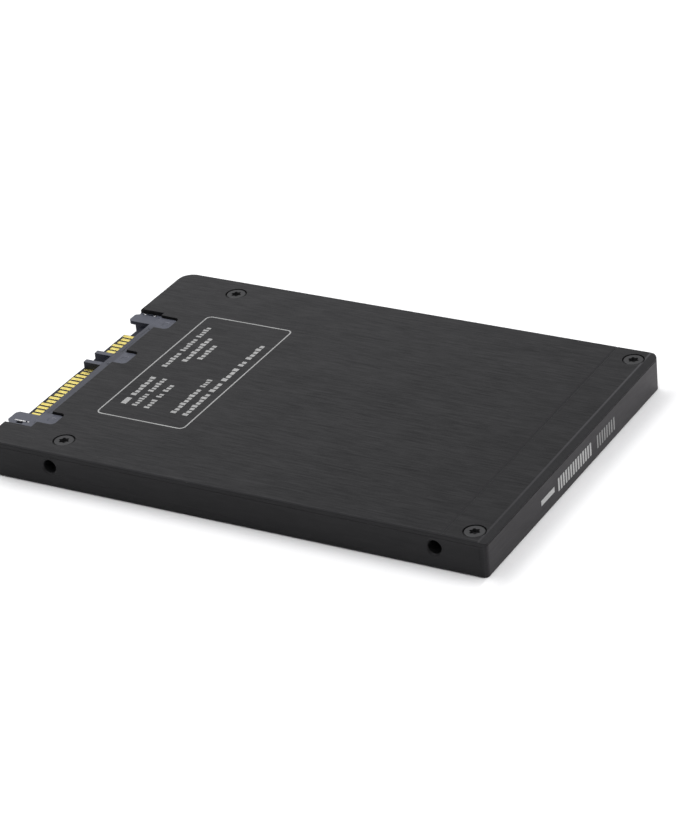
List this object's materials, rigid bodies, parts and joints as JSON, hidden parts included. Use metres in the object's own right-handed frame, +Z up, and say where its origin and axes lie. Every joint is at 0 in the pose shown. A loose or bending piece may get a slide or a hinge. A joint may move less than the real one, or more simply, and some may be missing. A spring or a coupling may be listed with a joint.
{
  "type": "solid state drive",
  "caption": "Flat metal-cased solid state drive, 2.5-inch form factor, with a screwed cover plate, side fixing holes and a serial plug at one end.",
  "frame": {"origin": "middle of the case's flat resting face; the plug's guide arms stand 0.6 mm out past the case's -X end", "axes": "+X along the length towards the plain front end, -X towards the plug end, +Y across towards the signal side of the plug, +Z up towards the marked cover plate"},
  "size_m": [0.1008, 0.0698, 0.007],
  "materials": {
    "case_aluminium": "fine straight brushed grain along the length, charcoal anodised",
    "screw_steel": "turned, blackened",
    "marking_print": "thin printed ink",
    "board_laminate": "solder-masked glass laminate",
    "plug_plastic": "moulded, slightly glossy",
    "contact_gold": "gold plated",
    "lock_metal": "tin plated",
    "chip_resin": "moulded resin",
    "lead_metal": "tin plated",
    "inductor_ferrite": "sintered ferrite",
    "capacitor_resin": "moulded resin",
    "capacitor_ceramic": "fired ceramic",
    "resistor_ceramic": "glazed ceramic",
    "fuse_ceramic": "fired ceramic",
    "thermal_silicone": "soft filled silicone",
    "insulating_film": "thin polyester film"
  },
  "bodies": {
    "base": {"case_tub": "case_aluminium", "front_marking": "marking_print", "circuit_board": "board_laminate", "board_screws": "lead_metal", "board_pads": "contact_gold", "connector_housing": "plug_plastic", "power_contacts": "contact_gold", "signal_contacts": "contact_gold", "connector_board_locks": "lock_metal", "controller_chip": "chip_resin", "memory_cache_chip": "chip_resin", "flash_chips_upper": "chip_resin", "flash_chips_lower": "chip_resin", "power_management_chip": "chip_resin", "voltage_regulators": "chip_resin", "firmware_chip": "chip_resin", "chip_leads": "lead_metal", "power_inductors": "inductor_ferrite", "polymer_capacitors": "capacitor_resin", "ceramic_capacitors": "capacitor_ceramic", "chip_resistors": "resistor_ceramic", "component_terminals": "lead_metal", "crystal_can": "lead_metal", "input_fuse": "fuse_ceramic", "surge_diode": "chip_resin", "controller_thermal_pad": "thermal_silicone", "flash_thermal_pads": "thermal_silicone", "insulating_sheet": "insulating_film"},
    "cover": {"label_cover": "case_aluminium", "cover_marking": "marking_print"},
    "screws": {"cover_screws": "screw_steel"}
  },
  "joints": [
    {"name": "cover_lift", "type": "slide", "parent": "base", "child": "cover", "axis": [0, 0, 1], "range_m": [0, 0.025]},
    {"name": "screw_draw", "type": "slide", "parent": "cover", "child": "screws", "axis": [0, 0, 1], "range_m": [0, 0.008]}
  ]
}
